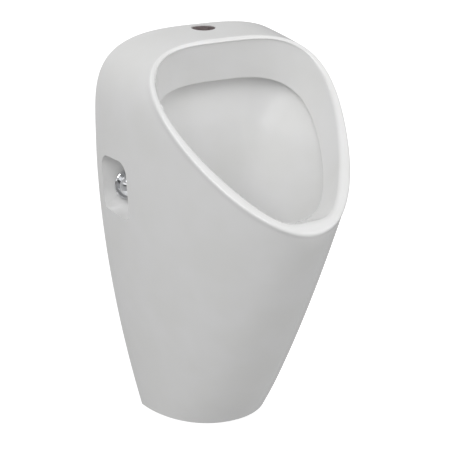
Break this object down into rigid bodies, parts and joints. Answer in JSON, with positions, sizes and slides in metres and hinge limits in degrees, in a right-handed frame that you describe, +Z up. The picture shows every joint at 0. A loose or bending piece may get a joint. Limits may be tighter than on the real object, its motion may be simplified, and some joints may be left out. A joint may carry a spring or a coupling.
{
  "type": "wall hung urinal",
  "caption": "Wall hung ceramic urinal with rounded rim, inner collar, top inlet, side recess fixings under chrome caps, and a bottle trap inside the open back",
  "frame": {"origin": "on the wall plane, midway between the two fixing bolts", "axes": "+X to the right seen from the front, +Y into the wall, +Z up"},
  "size_m": [0.325, 0.4021, 0.588],
  "materials": {
    "china": "glossy white glaze",
    "black_rubber": "matt",
    "zinc_steel": "zinc plated",
    "stainless": "plain",
    "chrome": "polished",
    "nylon": "moulded",
    "white_plastic": "moulded",
    "grey_plastic": "extruded"
  },
  "bodies": {
    "urinal": {"ceramic_body": "china", "inlet_seal": "black_rubber", "wall_studs": "zinc_steel", "stud_sleeves": "nylon", "cap_bases": "chrome", "fixing_washers": "zinc_steel", "fixing_nuts": "zinc_steel", "waste_upper_gasket": "black_rubber", "waste_body": "chrome", "waste_lower_gasket": "black_rubber", "waste_locknut": "white_plastic", "trap_inlet_nut": "white_plastic", "trap_inlet_seal": "black_rubber", "trap_body": "white_plastic", "dip_tube": "white_plastic", "outlet_nut": "white_plastic", "outlet_seal": "black_rubber", "outlet_pipe": "grey_plastic"},
    "left_cap": {"left_cap": "chrome"},
    "right_cap": {"right_cap": "chrome"},
    "strainer": {"strainer": "chrome"},
    "strainer_screw": {"strainer_screw": "stainless"},
    "trap_cup": {"trap_cup": "white_plastic", "cup_seal": "black_rubber"}
  },
  "joints": [
    {"name": "left_cap_pull", "type": "slide", "parent": "urinal", "child": "left_cap", "axis": [0, -1, 0], "range_m": [0, 0.04]},
    {"name": "right_cap_pull", "type": "slide", "parent": "urinal", "child": "right_cap", "axis": [0, -1, 0], "range_m": [0, 0.04]},
    {"name": "strainer_lift", "type": "slide", "parent": "urinal", "child": "strainer", "axis": [0, 0, 1], "range_m": [0, 0.03]},
    {"name": "strainer_screw_turn", "type": "hinge", "parent": "strainer", "child": "strainer_screw", "pos_m": [0, -0.07, -0.19], "axis": [0, 0, 1], "continuous": true},
    {"name": "trap_cup_drop", "type": "slide", "parent": "urinal", "child": "trap_cup", "axis": [0, 0, -1], "range_m": [0, 0.075]}
  ]
}
